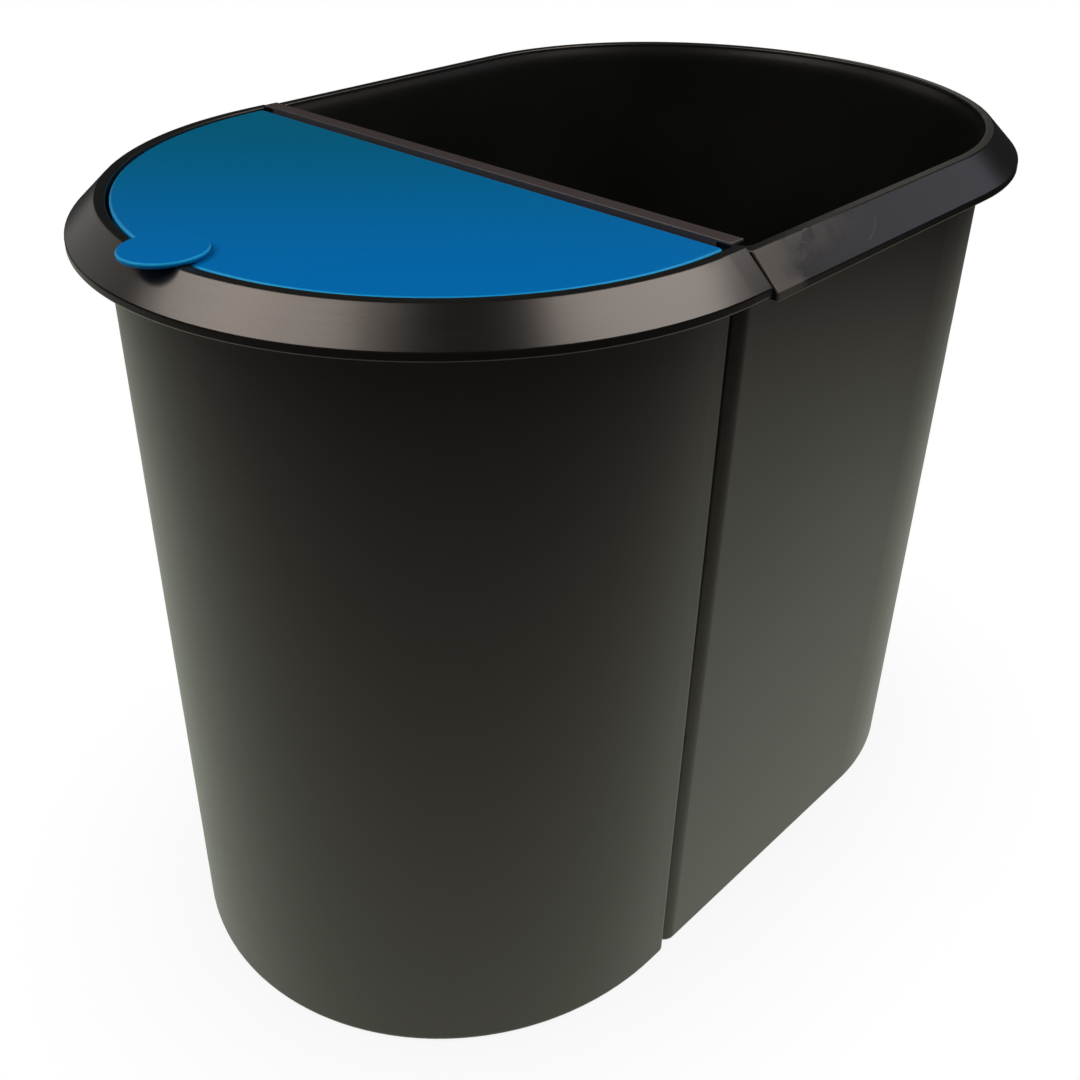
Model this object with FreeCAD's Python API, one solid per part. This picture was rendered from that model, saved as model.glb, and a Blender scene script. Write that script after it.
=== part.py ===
import FreeCAD, Part
import math
import os

from FreeCAD import Vector

# A pair of waste bins that stand back to back as one oval, with a flap lid over the smaller one.
# Millimetres, +Z up. The origin is on the floor, under the middle of the whole pair. The large bin
# lies towards +X and the small one towards -X. Each bin is drawn with its flat wall on the seam and
# its round end towards +X, and is then turned or moved to its place.

# The pair
bin_height = 340.0          # floor to the top of the small bin's rim
large_rim_lower = 1.4       # the large bin's rim is this much lower
seam_gap = 1.0              # between the two flat walls, and between the ends of the rims

# Crest line: the outer edge of the rim's narrow top face, seen from above.
# It runs straight from the seam and ends in half an ellipse.
large_half_width = 136.0
large_straight = 147.5
large_end = 124.0
small_half_width = 134.2
small_straight = 11.0
small_end = 133.0

# Rim: top face, sloping outer face and upright band, hollow underneath
large_rim_reach = 11.5      # how far the band stands out from the crest line
large_rim_drop = 12.0       # height that the slope falls
small_rim_reach = 11.8
small_rim_drop = 11.4
rim_band = 3.2
rim_wall = 1.9
rim_web = 2.0               # closes the rim's two ends at the seam
crest_round = 1.0
band_round = 0.9
lip_round = 0.7             # inner top edge
rim_end_round = 0.8
band_foot_round = 0.6

# Walls and floor
wall_inset = 1.8            # outer face of the wall, inside the crest line at the top
wall = 2.2
flat_wall = 1.8             # the wall along the seam
collar_depth = 120.0        # the large bin's wall thickens from here up to its mouth
# Its mouth opens out again: depth below the top, and how much thicker the wall is there.
# The flat wall stays straight.
mouth_steps = [(9.0, 1.18), (7.6, 1.14), (6.4, 1.05), (5.4, 0.92),
               (4.6, 0.77), (3.9, 0.60), (1.9, 0.06), (1.3, 0.0)]
large_side_draft = 15.2     # how much the half width shrinks from top to floor
large_end_draft = 4.3       # how much the round end draws in from top to floor
small_side_draft = 12.7
small_end_draft = 5.6
large_corner = 6.0          # upright corners at the seam
small_corner = 3.5
floor_top = 4.0
floor_round = 1.5           # inside, where the walls meet the floor
foot_round = 2.5
foot_inset = 8.0            # width of the ring that the bin stands on
foot_recess = 1.5

# Lid
lid_gap = 1.5               # between its edge and the small bin's wall
lid_top = bin_height - 0.5
lid_panel = 2.0
lid_skirt = 6.6             # height of the turned-down edge
lid_skirt_wall = 1.8
lid_edge_round = 1.2
lid_corner = 1.6
lid_back = 5.6              # its straight edge, from the seam
hinge_inset = 3.3           # hinge axis, in from the straight edge and down from the top
barrel_radius = 3.0
pin_radius = 1.6
pin_clearance = 0.06
pin_tip = 0.3               # how far the pin stops short of the wall's outer face
rib_count = 5
rib_wall = 1.4
rib_height = 3.2
rib_spacing = 42.0
tab_radius = 15.4
tab_centre = 138.7          # from the seam
tab_top = bin_height + 2.2
tab_underside = bin_height + 0.1
tab_round = 0.9
tab_under_round = 0.5
neck_inset = 1.5            # of the tab's neck, inside the lid's edge

# Joining rail
rail_half_width = 3.4
rail_half_length = 130.2
rail_top = bin_height + 1.0
rail_clearance = 0.3        # to the large bin's wall
rail_leg_half_length = 124.0
rail_leg_depth = 13.0       # below the small bin's rim
rail_round = 0.5

# The round ends set the overall length, so they set where the seam is from the middle.
large_length = large_straight + large_end + large_rim_reach
small_length = small_straight + small_end + small_rim_reach
seam_x = (small_length - large_length) / 2
half_gap = seam_gap / 2
spare = 1.0                 # how far a cutting solid runs past the face it cuts
same = 0.01                 # heights closer than this are the same


def half_ellipse(straight, end, half_width, z):
    """The round end, from the -Y side to the +Y side."""
    half_circle = Part.ArcOfCircle(Part.Circle(), -math.pi / 2, math.pi / 2).toShape()
    stretch = FreeCAD.Matrix()
    stretch.scale(end, half_width, 1.0)
    edge = half_circle.transformGeometry(stretch)
    edge.translate(Vector(straight, 0, z))
    return edge


def oval(start, straight, end, half_width, z, corner=0.0):
    """A flat side at X = start, straight sides, and half an ellipse; corner rounds the flat side."""
    near = Vector(start + corner, -half_width, z)
    far = Vector(start + corner, half_width, z)
    edges = [
        Part.LineSegment(near, Vector(straight, -half_width, z)).toShape(),
        half_ellipse(straight, end, half_width, z),
        Part.LineSegment(Vector(straight, half_width, z), far).toShape(),
    ]
    if corner:
        bow = corner * (1 - math.sqrt(0.5))
        flat_y = half_width - corner
        for side in (1, -1):
            outer = Vector(start + corner, side * half_width, z)
            middle = Vector(start + bow, side * (half_width - bow), z)
            inner = Vector(start, side * flat_y, z)
            edges.append(Part.Arc(outer, middle, inner).toShape())
        edges.append(Part.LineSegment(Vector(start, flat_y, z), Vector(start, -flat_y, z)).toShape())
    else:
        edges.append(Part.LineSegment(far, near).toShape())
    return Part.Wire(Part.__sortEdges__(edges))


def skin(wires):
    """The solid between ovals at different heights."""
    return Part.makeLoft(wires, True, True)


def edges_at(shape, z, low_x=-math.inf, half_width=math.inf):
    """The level edges at height z that reach beyond X = low_x and lie within a half width."""
    found = []
    for edge in shape.Edges:
        box = edge.BoundBox
        level = abs(box.ZMin - z) < same and abs(box.ZMax - z) < same
        if level and box.XMax > low_x and box.YMax < half_width:
            found.append(edge)
    return found


class Plan:
    """The sizes of one bin: ovals measured from its crest line, and the draft of its walls."""

    def __init__(self, top, half_width, straight, end, reach, drop, side_draft, end_draft, corner, mouth):
        self.top = top
        self.half_width = half_width
        self.straight = straight
        self.end = end
        self.reach = reach
        self.drop = drop
        self.side_draft = side_draft
        self.end_draft = end_draft
        self.corner = corner
        self.mouth = mouth

    def level(self, grow, z, start=half_gap):
        """The crest line grown by a distance, with square corners at the seam."""
        return oval(start, self.straight, self.end + grow, self.half_width + grow, z)

    def wall_face(self, inset, z, start, corner):
        """The wall's face at a height, drawn in by the draft."""
        drawn = 1 - z / self.top
        end = self.end - inset - self.end_draft * drawn
        half_width = self.half_width - inset - self.side_draft * drawn
        return oval(start, self.straight, end, half_width, z, corner)


def bin_rim(plan):
    """The sloping rim, hollow underneath, before the inside of the bin is cut out of it."""
    band_top = plan.top - plan.drop
    band_foot = band_top - rim_band
    rim = skin([plan.level(plan.reach, band_foot), plan.level(plan.reach, band_top), plan.level(0, plan.top)])

    # It is rounded while it is still a plain solid: along its length, then at its ends.
    for radius, height in ((crest_round, plan.top), (band_round, band_top), (band_foot_round, band_foot)):
        rim = rim.makeFillet(radius, edges_at(rim, height, low_x=plan.straight))
    end_edges = []
    for edge in rim.Edges:
        if edge.BoundBox.XMax < half_gap + same and edge.BoundBox.ZMax > band_foot + same:
            end_edges.append(edge)
    rim = rim.makeFillet(rim_end_round, end_edges)

    # The hollow follows the slope, one wall's thickness in.
    fall = plan.drop / plan.reach
    hollow_reach = plan.reach - rim_wall
    hollow_shoulder = band_top - rim_wall * (math.hypot(1, fall) - fall)
    hollow_top = plan.top - rim_wall
    hollow_crest = hollow_reach - (hollow_top - hollow_shoulder) / fall
    hollow_start = half_gap + rim_web
    hollow = skin([
        plan.level(hollow_reach, band_foot - spare, hollow_start),
        plan.level(hollow_reach, hollow_shoulder, hollow_start),
        plan.level(hollow_crest, hollow_top, hollow_start),
    ])
    return rim.cut(hollow)


def bin_body(plan):
    """Walls, floor and rim of one bin, with its flat wall on the seam."""
    # The walls run up into the middle of the rim's top.
    shell = skin([
        plan.wall_face(wall_inset, 0, half_gap, plan.corner),
        plan.wall_face(wall_inset, plan.top - rim_wall / 2, half_gap, plan.corner),
    ])
    shell = shell.makeFillet(foot_round, edges_at(shell, 0))

    inner_inset = wall_inset + wall
    inner_start = half_gap + flat_wall
    inner_corner = plan.corner - flat_wall
    levels = [plan.wall_face(inner_inset, floor_top, inner_start, inner_corner)]
    for depth, thicker in plan.mouth:
        levels.append(plan.wall_face(inner_inset + thicker, plan.top - depth, inner_start, inner_corner))
    levels.append(plan.wall_face(inner_inset, plan.top + spare, inner_start, inner_corner))
    cavity = skin(levels)
    cavity = cavity.makeFillet(floor_round, edges_at(cavity, floor_top))
    recess = skin([
        plan.wall_face(wall_inset + foot_inset, -spare, half_gap + foot_inset, inner_corner),
        plan.wall_face(wall_inset + foot_inset, foot_recess, half_gap + foot_inset, inner_corner),
    ])
    body = bin_rim(plan).fuse(shell).cut(cavity).cut(recess)
    lip_half_width = plan.half_width - inner_inset + same
    return body.makeFillet(lip_round, edges_at(body, plan.top, half_width=lip_half_width))


def place(shape):
    """From the seam to the frame of the whole pair."""
    shape.translate(Vector(seam_x, 0, 0))
    return shape


def turn(shape):
    """Half a turn about the seam, which takes a piece to the small bin's side."""
    shape.rotate(Vector(0, 0, 0), Vector(0, 0, 1), 180)
    return shape


large_plan = Plan(bin_height - large_rim_lower, large_half_width, large_straight, large_end,
                  large_rim_reach, large_rim_drop, large_side_draft, large_end_draft, large_corner,
                  [(collar_depth, 0.0)] + mouth_steps)
small_plan = Plan(bin_height, small_half_width, small_straight, small_end,
                  small_rim_reach, small_rim_drop, small_side_draft, small_end_draft, small_corner, [])
hinge_x = lid_back + hinge_inset
hinge_z = lid_top - hinge_inset


def make_large_bin():
    return bin_body(large_plan)


def make_small_bin():
    """The bin with a socket for the lid's pin in each side wall."""
    socket = Part.makeCylinder(pin_radius + pin_clearance, 2 * small_half_width,
                               Vector(hinge_x, -small_half_width, hinge_z), Vector(0, 1, 0))
    return turn(bin_body(small_plan).cut(socket))


def lid_outline(inset, z):
    """The lid's plan, which follows the inside of the small bin's wall."""
    edge = wall_inset + wall + lid_gap + inset
    return oval(lid_back + inset, small_straight, small_end - edge, small_half_width - edge, z,
                max(lid_corner - inset, 0.0))


def make_lid():
    """Panel with a turned-down edge, ribs, hinge barrel, stub pins and thumb tab."""
    panel_under = lid_top - lid_panel
    block = skin([lid_outline(0, lid_top - lid_skirt), lid_outline(0, lid_top)])
    inside = skin([lid_outline(lid_skirt_wall, lid_top - lid_skirt - spare),
                   lid_outline(lid_skirt_wall, panel_under)])
    lid = block.makeFillet(lid_edge_round, edges_at(block, lid_top)).cut(inside)

    barrel_end = small_half_width - wall_inset - wall - lid_gap - lid_corner
    pin_end = small_half_width - wall_inset - pin_tip
    parts = []
    for radius, end in ((barrel_radius, barrel_end), (pin_radius, pin_end)):
        parts.append(Part.makeCylinder(radius, 2 * end, Vector(hinge_x, -end, hinge_z), Vector(0, 1, 0)))

    # Ribs run from the barrel into the turned-down edge of the round end.
    rib_bed = skin([lid_outline(lid_skirt_wall / 2, panel_under - rib_height),
                    lid_outline(lid_skirt_wall / 2, panel_under + lid_panel / 2)])
    for index in range(rib_count):
        y = (index - (rib_count - 1) / 2) * rib_spacing
        rib = Part.makeBox(small_straight + small_end, rib_wall, lid_skirt,
                           Vector(hinge_x, y - rib_wall / 2, lid_top - lid_skirt))
        parts.append(rib.common(rib_bed))

    # The thumb tab lies over the rim; below it, inside the lid's edge, a neck joins it to the panel.
    disc = Part.makeCylinder(tab_radius, tab_top - tab_underside, Vector(tab_centre, 0, tab_underside))
    disc = disc.makeFillet(tab_round, edges_at(disc, tab_top))
    disc = disc.makeFillet(tab_under_round, edges_at(disc, tab_underside))
    neck_foot = lid_top - lid_panel / 2
    neck_column = skin([lid_outline(neck_inset, neck_foot), lid_outline(neck_inset, tab_top)])
    neck = Part.makeCylinder(tab_radius - tab_round, tab_underside - neck_foot + tab_round,
                             Vector(tab_centre, 0, neck_foot))
    parts.append(disc)
    parts.append(neck.common(neck_column))
    return turn(lid.fuse(parts))


def make_joining_rail():
    """A clip of inverted U section over the two flat walls, gripping the small bin's."""
    plate = Part.makeBox(2 * rail_half_width, 2 * rail_half_length, rail_top - bin_height,
                         Vector(-rail_half_width, -rail_half_length, bin_height))
    small_face = half_gap + flat_wall
    large_face = small_face + rail_clearance
    legs = []
    for start, end in ((small_face, rail_half_width), (-rail_half_width, -large_face)):
        legs.append(Part.makeBox(end - start, 2 * rail_leg_half_length, rail_leg_depth,
                                 Vector(start, -rail_leg_half_length, bin_height - rail_leg_depth)))
    rail = plate.fuse(legs).removeSplitter()
    rail = rail.makeFillet(rail_round, edges_at(rail, rail_top))
    return turn(rail)


def export(shape, name):
    print(name, len(shape.Solids), "solid", shape.isValid(), round(shape.Volume / 1000, 1), "cm3")
    shape.exportStep("parts/" + name + ".step")


os.makedirs("parts", exist_ok=True)
export(place(make_large_bin()), "large_bin")
export(place(make_small_bin()), "small_bin")
export(place(make_joining_rail()), "joining_rail")
export(place(make_lid()), "lid")
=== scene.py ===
from math import cos, pi, radians, sin

import bpy
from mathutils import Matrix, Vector

# Double waste bin: two black bins back to back, a blue flap lid on the small one.
# Metres. The CAD model is the frame; this script gives it its finishes, the studio and the camera.

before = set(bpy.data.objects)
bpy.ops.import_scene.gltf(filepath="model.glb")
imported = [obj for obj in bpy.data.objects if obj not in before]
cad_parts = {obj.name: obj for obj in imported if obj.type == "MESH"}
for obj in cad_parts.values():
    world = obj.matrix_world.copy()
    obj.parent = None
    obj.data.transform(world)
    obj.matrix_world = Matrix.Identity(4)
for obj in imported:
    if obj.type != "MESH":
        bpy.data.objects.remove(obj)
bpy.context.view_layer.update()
print("frame loaded:", sorted(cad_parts))


class Wire:
    # One output socket. Sums and products of wires and numbers add Math nodes.
    def __init__(self, finish, socket):
        self.finish = finish
        self.socket = socket

    def maths(self, operation, first, second=0.0):
        return self.finish.node("ShaderNodeMath", {"operation": operation}, {0: first, 1: second})

    def __add__(self, other):
        return self.maths("ADD", self, other)

    def __radd__(self, other):
        return self.maths("ADD", other, self)

    def __sub__(self, other):
        return self.maths("SUBTRACT", self, other)

    def __rsub__(self, other):
        return self.maths("SUBTRACT", other, self)

    def __mul__(self, other):
        return self.maths("MULTIPLY", self, other)

    def __rmul__(self, other):
        return self.maths("MULTIPLY", other, self)

    def __pow__(self, other):
        return self.maths("POWER", self, other)

    def __abs__(self):
        return self.maths("ABSOLUTE", self)

    def __gt__(self, other):
        return self.maths("GREATER_THAN", self, other)

    def __lt__(self, other):
        return self.maths("LESS_THAN", self, other)

    def ramp(self, low, high):
        # 0 below low, 1 above high, smooth between
        return self.finish.node("ShaderNodeMapRange", {"interpolation_type": "SMOOTHSTEP"},
                                {"Value": self, "From Min": low, "From Max": high})


class Finish:
    # A material or the world, with one method that adds any node.
    def __init__(self, name, owner=None):
        self.owner = owner or bpy.data.materials.new(name)
        self.owner.use_nodes = True
        self.tree = self.owner.node_tree
        self.tree.nodes.clear()

    def node(self, kind, settings=None, sockets=None, output=0):
        made = self.tree.nodes.new(kind)
        for name, value in (settings or {}).items():
            setattr(made, name, value)
        for name, value in (sockets or {}).items():
            if isinstance(value, Wire):
                self.tree.links.new(value.socket, made.inputs[name])
            else:
                made.inputs[name].default_value = value
        return Wire(self, made.outputs[output]) if len(made.outputs) else None

    def coordinates(self, output="Object"):
        # the vector, then its X, Y and Z
        place = self.node("ShaderNodeTexCoord", output=output)
        axes = [self.node("ShaderNodeSeparateXYZ", {}, {0: place}, axis) for axis in ("X", "Y", "Z")]
        return [place, *axes]

    def noise(self, place, scale, detail=2.0, roughness=0.5, stretch=(1.0, 1.0, 1.0)):
        where = self.node("ShaderNodeMapping", {}, {"Vector": place, "Scale": stretch})
        return self.node("ShaderNodeTexNoise", {}, {"Vector": where, "Scale": scale, "Detail": detail,
                                                    "Roughness": roughness}, "Fac")

    def distance(self, place, centre):
        return self.node("ShaderNodeVectorMath", {"operation": "DISTANCE"},
                         {0: place, 1: centre}, "Value")

    def blend(self, amount, first, second):
        # mixes two colours
        def colour(value):
            return value if isinstance(value, Wire) else (*value, 1.0)
        return self.node("ShaderNodeMix", {"data_type": "RGBA"},
                         {0: amount, 6: colour(first), 7: colour(second)}, 2)

    def bump(self, height, depth, under=None):
        sockets = {"Height": height, "Distance": depth, "Strength": 1.0}
        if under:
            sockets["Normal"] = under
        return self.node("ShaderNodeBump", {}, sockets, "Normal")

    def plastic(self, sockets):
        surface = self.node("ShaderNodeBsdfPrincipled", {}, sockets, "BSDF")
        self.node("ShaderNodeOutputMaterial", {}, {"Surface": surface})
        return self.owner


blackBins = {
    "colour": (0.0052, 0.0049, 0.0044),
    # painted shade: the inside faces darker and greener than the outside
    "shadedInsideColour": (0.0032, 0.0040, 0.0036),
    "paleColour": (0.016, 0.015, 0.014),     # scuffs and dust
    "bodyRoughness": 0.36,
    "rimRoughness": 0.25,
    "specularLevel": 0.6,
    "sheenColour": (1.0, 0.90, 0.84),
    "seam": -0.0636,                         # X of the plane between the bins
    "outsideRange": (0.004, 0.020),          # how far a face looks away from the seam's middle
    "rimFoot": 0.3235,                       # the rim's smoother finish starts here, outside only
    "rimFootBlend": 0.001,
    "grainScale": 1500.0,
    "grainDepth": 0.000012,
    "grainRoughness": 0.05,
    "grainLostOnRim": 0.7,
    "drawnScale": 1100.0,                    # fine lines along the rim
    "drawnStretch": (0.04, 0.04, 1.0),
    "drawnDepth": 0.000002,
    "drawnRoughness": 0.06,
    "slowScale": 9.0,                        # broad, faint clouding
    "slowDetail": 3.0,
    "slowRange": (0.3, 0.7),
    "slowAmount": 0.2,
    "slowRoughness": 0.08,
    "speckScale": 70.0,
    "speckSize": 0.022,
    "speckAmount": 0.5,
    # the large rim is rubbed dull beside the seam, on the -Y side
    "rubNear": 0.006,
    "rubFar": 0.020,
    "rubSide": -0.12,                        # only where Y is below this
    "rubColour": (0.046, 0.038, 0.033),
    "rubAmount": 0.8,
    "rubRoughness": 0.26,
    "blotchScale": 110.0,
    "blotchDetail": 4.0,
    "blotchRoughness": 0.62,
    "blotchReach": 0.026,                    # how much they shift the patch's edge
    "hazeFar": 0.080,                        # a fainter haze reaches further along its upper half
    "hazeHeights": (0.3290, 0.3360),
    "hazeBlotches": (0.3, 0.6),
    "hazeAmount": 0.45,
    # fine curved scratches there: centre of the curve, radius, where it starts and ends along X
    "scratches": [
        ((-0.0424, -0.1391, 0.3354), 0.0048, -0.0440, -0.0380),
        ((-0.0090, -0.1292, 0.3456), 0.0238, -0.0040, 0.0100),
        ((-0.0300, -0.1400, 0.3200), 0.0190, -0.0400, -0.0290),
    ],
    "scratchWidth": 0.00025,
    "scratchEnds": 0.003,                    # length over which an end fades out
    "scratchSide": -0.13,
    "scratchRoughness": 0.3,
}


def rubbed(finish, look, place, x, y, z, onRim):
    # the dull patch's strength, with a blotchy edge
    blotches = finish.noise(place, look["blotchScale"], look["blotchDetail"], look["blotchRoughness"])
    fromSeam = x - look["seam"] + (blotches - 0.5) * look["blotchReach"]
    patch = 1.0 - fromSeam.ramp(look["rubNear"], look["rubFar"])
    upper = z.ramp(*look["hazeHeights"]) * blotches.ramp(*look["hazeBlotches"])
    haze = (1.0 - fromSeam.ramp(look["rubFar"], look["hazeFar"])) * upper * look["hazeAmount"]
    here = (x > look["seam"]) * (y < look["rubSide"]) * onRim
    return (patch + haze * (1.0 - patch)) * here


def scratched(finish, look, place, x, y, onRim):
    # each scratch is where the surface cuts a thin sphere
    marks = 0.0
    ends = look["scratchEnds"]
    for centre, radius, start, end in look["scratches"]:
        off = abs(finish.distance(place, centre) - radius)
        arc = 1.0 - off.ramp(0.0, look["scratchWidth"])
        marks = marks + arc * x.ramp(start, start + ends) * (1.0 - x.ramp(end - ends, end))
    return marks * (y < look["scratchSide"]) * onRim


def binPlastic(look):
    finish = Finish("binPlastic")
    place, x, y, z = finish.coordinates()
    faceX, faceY = finish.coordinates("Normal")[1:3]
    outside = (faceX * (x - look["seam"]) + faceY * y).ramp(*look["outsideRange"])
    onRim = z.ramp(look["rimFoot"], look["rimFoot"] + look["rimFootBlend"]) * outside

    slow = finish.noise(place, look["slowScale"], look["slowDetail"])
    grain = finish.noise(place, look["grainScale"])
    drawn = finish.noise(place, look["drawnScale"], stretch=look["drawnStretch"])
    cells = finish.node("ShaderNodeTexVoronoi", {}, {"Vector": place, "Scale": look["speckScale"]},
                        "Distance")
    specks = cells < look["speckSize"]
    rub = rubbed(finish, look, place, x, y, z, onRim)
    marks = scratched(finish, look, place, x, y, onRim)

    # painted shade: inside faces get the darker, greener colour
    colour = finish.blend(outside, look["shadedInsideColour"], look["colour"])
    colour = finish.blend(slow.ramp(*look["slowRange"]) * look["slowAmount"], colour, look["paleColour"])
    colour = finish.blend(specks * look["speckAmount"], colour, look["paleColour"])
    colour = finish.blend(rub * look["rubAmount"] + marks, colour, look["rubColour"])

    roughness = look["bodyRoughness"] + (look["rimRoughness"] - look["bodyRoughness"]) * onRim
    roughness = roughness + (slow - 0.5) * look["slowRoughness"] + (grain - 0.5) * look["grainRoughness"]
    roughness = roughness + (drawn - 0.5) * onRim * look["drawnRoughness"]
    roughness = roughness + rub * look["rubRoughness"] + marks * look["scratchRoughness"]

    normal = finish.bump(grain * (1.0 - onRim * look["grainLostOnRim"]), look["grainDepth"])
    normal = finish.bump(drawn * onRim, look["drawnDepth"], normal)
    return finish.plastic({"Base Color": colour, "Roughness": roughness, "Normal": normal,
                           "Specular IOR Level": look["specularLevel"],
                           "Specular Tint": (*look["sheenColour"], 1.0)})


blueLid = {
    "colour": (0.0, 0.132, 0.410),
    "farShadedColour": (0.0, 0.106, 0.205),
    "farShadeRange": (-0.27, 0.03),               # painted shade: X + Y over which the near colour turns into the darker, greener far colour
    "sheenColour": (0.05, 0.60, 1.0),
    "specularLevel": 0.22,
    "roughness": 0.36,
    "slowScale": 7.0,
    "slowTint": 0.1,
    "slowRoughness": 0.06,
    "grainScale": 1800.0,
    "grainDepth": 0.00001,
    "grainRoughness": 0.05,
    # painted highlight along the rounded edges: top, then depths below it where the highlight band
    # starts, is full, and starts to fade
    "panelEdgeHighlight": (0.3395, 0.0014, 0.0008, 0.0005),
    "tabEdgeHighlight": (0.3422, 0.0012, 0.0007, 0.0004),
    "edgeHighlightColour": (0.02, 0.42, 0.80),
    "edgeHighlightAmount": 0.8,
}


# painted highlight band just below a rounded edge's top
def highlightBand(z, top, start, full, fading):
    return z.ramp(top - start, top - full) * (1.0 - z.ramp(top - fading, top))


def lidPlastic(look):
    finish = Finish("lidPlastic")
    place, x, y, z = finish.coordinates()
    slow = finish.noise(place, look["slowScale"])
    grain = finish.noise(place, look["grainScale"])
    # painted shade: the lid darker and greener towards its far end, standing in for light falling off
    away = (x + y).ramp(*look["farShadeRange"])
    # painted highlight: paler blue along the panel's and the tab's rounded edges
    edgeHighlights = highlightBand(z, *look["panelEdgeHighlight"]) + highlightBand(z, *look["tabEdgeHighlight"])

    colour = finish.blend(away + (slow - 0.5) * look["slowTint"], look["colour"], look["farShadedColour"])
    colour = finish.blend(edgeHighlights * look["edgeHighlightAmount"], colour, look["edgeHighlightColour"])
    roughness = look["roughness"] + (slow - 0.5) * look["slowRoughness"]
    roughness = roughness + (grain - 0.5) * look["grainRoughness"]
    normal = finish.bump(grain, look["grainDepth"])
    return finish.plastic({"Base Color": colour, "Roughness": roughness, "Normal": normal,
                           "Specular IOR Level": look["specularLevel"],
                           "Specular Tint": (*look["sheenColour"], 1.0)})


rail = {
    "colour": (0.040, 0.031, 0.030),
    "wornColour": (0.055, 0.046, 0.044),
    "wornScale": 14.0,
    "wornAmount": 0.4,
    "specularLevel": 0.45,
    "roughness": 0.40,
    "drawnScale": 900.0,                     # lines along its length
    "drawnStretch": (1.0, 0.02, 1.0),
    "drawnDepth": 0.00001,
    "drawnRoughness": 0.12,
}


def railPlastic(look):
    finish = Finish("railPlastic")
    place = finish.coordinates()[0]
    drawn = finish.noise(place, look["drawnScale"], stretch=look["drawnStretch"])
    worn = finish.noise(place, look["wornScale"])
    colour = finish.blend(worn * look["wornAmount"], look["colour"], look["wornColour"])
    roughness = look["roughness"] + (drawn - 0.5) * look["drawnRoughness"]
    normal = finish.bump(drawn, look["drawnDepth"])
    return finish.plastic({"Base Color": colour, "Roughness": roughness, "Normal": normal,
                           "Specular IOR Level": look["specularLevel"]})


def cover(node, material):
    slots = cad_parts[node].data.materials
    slots.clear()
    slots.append(material)


black = binPlastic(blackBins)
cover("large_bin", black)
cover("small_bin", black)
cover("lid", lidPlastic(blueLid))
cover("joining_rail", railPlastic(rail))
print("finishes made")


studio = {
    "aim": (-0.10, 0.0, 0.32),
    # azimuth and elevation in degrees, distance, width, height, radiance, colour
    "lamps": {
        "leftBox": (149, 49, 1.05, 0.90, 0.58, 4.75, (1.0, 0.95, 0.91)),
        "leftGlow": (147, 51, 1.04, 0.18, 0.36, 1.0, (1.0, 0.93, 0.82)),
        "leftSpill": (188, 64, 1.10, 0.28, 0.28, 1.9, (1.0, 0.96, 0.93)),
        "rightBox": (307, 50, 1.00, 0.80, 0.56, 5.4, (1.0, 0.96, 0.93)),
        "leftCard": (97, 13, 1.20, 0.75, 0.62, 0.42, (1.0, 0.97, 0.92)),
        "coolCard": (334, 19, 1.20, 0.38, 0.30, 0.68, (0.74, 0.80, 1.0)),
        "backCard": (16, 13, 0.86, 0.16, 0.18, 0.6, (1.0, 0.94, 0.83)),
    },
    "floorRadius": 1.4,
    "floorSides": 96,
    "floorColour": (0.80, 0.81, 0.76),
    # the floor as the bins mirror it: a painted glow, a bright middle that fades out, in metres from
    # floorMiddle
    "floorMiddle": (0.12, 0.26),
    "floorLevel": 0.90,
    "floorFade": (0.18, 1.17),
    "floorGlowTint": (0.92, 1.0, 0.84),
    "floorFarGlowTint": (1.0, 0.93, 0.83),
    "shadowReach": 0.10,
    "shadowDepth": 0.14,
    "shadowSamples": 12,
    "surround": (0.02, 0.022, 0.022),
    "white": (1.0, 1.0, 1.0, 1.0),
}


def direction(azimuth, elevation):
    a, e = radians(azimuth), radians(elevation)
    return Vector((cos(a) * cos(e), sin(a) * cos(e), sin(e)))


def makeLamp(name, azimuth, elevation, distance, width, height, radiance, colour):
    data = bpy.data.lights.new(name, "AREA")
    data.shape, data.size, data.size_y = "RECTANGLE", width, height
    data.energy = radiance * pi * width * height
    data.color = colour
    lamp = bpy.data.objects.new(name, data)
    away = direction(azimuth, elevation)
    lamp.location = Vector(studio["aim"]) + away * distance
    lamp.rotation_euler = away.to_track_quat("Z", "Y").to_euler()
    lamp.visible_camera = False
    bpy.context.scene.collection.objects.link(lamp)


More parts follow.
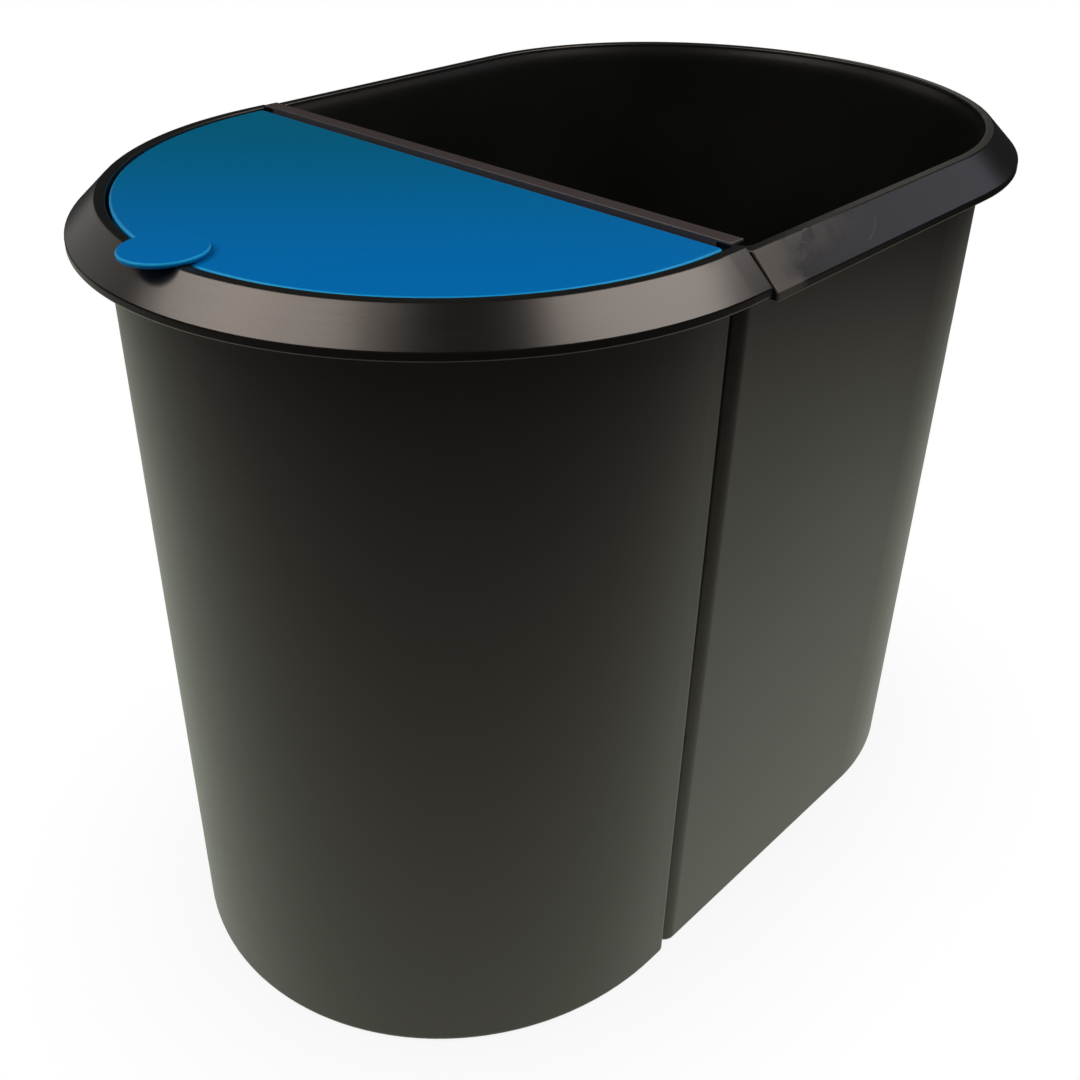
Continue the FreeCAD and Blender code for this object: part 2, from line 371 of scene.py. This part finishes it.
def floorPaint():
    finish = Finish("floorPaint")
    x, y = finish.coordinates()[1:3]
    seen = finish.node("ShaderNodeLightPath", output="Is Camera Ray")
    mirrored = finish.node("ShaderNodeLightPath", output="Is Glossy Ray")
    middleX, middleY = studio["floorMiddle"]
    reach = ((x - middleX) ** 2.0 + (y - middleY) ** 2.0) ** 0.5
    fade = reach.ramp(*studio["floorFade"])
    lit = (1.0 - fade) * studio["floorLevel"]
    tone = finish.blend(fade, studio["floorGlowTint"], studio["floorFarGlowTint"])
    paint = finish.node("ShaderNodeBsdfDiffuse", {}, {"Color": (*studio["floorColour"], 1.0)})
    # painted glow: the floor emits this only for glossy rays, standing in for its lit middle
    sheen = finish.node("ShaderNodeEmission", {}, {"Color": tone, "Strength": lit})
    # the bins' faint shadow, where they keep the light off the floor
    openness = finish.node("ShaderNodeAmbientOcclusion", {"samples": studio["shadowSamples"]},
                           {"Distance": studio["shadowReach"]}, "AO")
    shaded = openness * studio["shadowDepth"] + (1.0 - studio["shadowDepth"])
    white = finish.node("ShaderNodeEmission", {}, {"Color": studio["white"], "Strength": shaded})
    both = finish.node("ShaderNodeMixShader", {}, {0: mirrored, 1: paint, 2: sheen})
    both = finish.node("ShaderNodeMixShader", {}, {0: seen, 1: both, 2: white})
    finish.node("ShaderNodeOutputMaterial", {}, {"Surface": both})
    return finish.owner


def makeFloor():
    radius, count = studio["floorRadius"], studio["floorSides"]
    angles = [radians(i * 360 / count) for i in range(count)]
    points = [(radius * cos(angle), radius * sin(angle), 0.0) for angle in angles]
    mesh = bpy.data.meshes.new("floor")
    mesh.from_pydata(points, [], [list(range(count))])
    mesh.materials.append(floorPaint())
    floor = bpy.data.objects.new("floor", mesh)
    bpy.context.scene.collection.objects.link(floor)


def makeSurround():
    # dim all round, but white where the camera sees it
    world = bpy.data.worlds.new("studio")
    bpy.context.scene.world = world
    finish = Finish("studio", world)
    seen = finish.node("ShaderNodeLightPath", output="Is Camera Ray")
    dim = finish.node("ShaderNodeBackground", {}, {"Color": (*studio["surround"], 1.0), "Strength": 1.0})
    white = finish.node("ShaderNodeBackground", {}, {"Color": studio["white"], "Strength": 1.0})
    both = finish.node("ShaderNodeMixShader", {}, {0: seen, 1: dim, 2: white})
    finish.node("ShaderNodeOutputWorld", {}, {"Surface": both})


for name, numbers in studio["lamps"].items():
    makeLamp(name, *numbers)
makeFloor()
makeSurround()
bpy.context.scene.view_settings.view_transform = "Standard"
print("studio made")


camera = {
    "place": (-0.414756, -0.368973, 0.494729),
    "yaw": 44.1014,
    "pitch": 25.7465,                        # downwards
    "lens": 44.2165,
    "sensor": 36.0,
    "shift": (0.0185185, -0.1574074),
    "clipStart": 0.01,
}


def makeCamera(look):
    data = bpy.data.cameras.new("camera")
    data.sensor_width = look["sensor"]
    data.lens = look["lens"]
    data.shift_x, data.shift_y = look["shift"]
    data.clip_start = look["clipStart"]
    view = bpy.data.objects.new("camera", data)
    view.location = look["place"]
    view.rotation_euler = direction(look["yaw"], -look["pitch"]).to_track_quat("-Z", "Y").to_euler()
    bpy.context.scene.collection.objects.link(view)
    bpy.context.scene.camera = view


makeCamera(camera)
print("camera made")
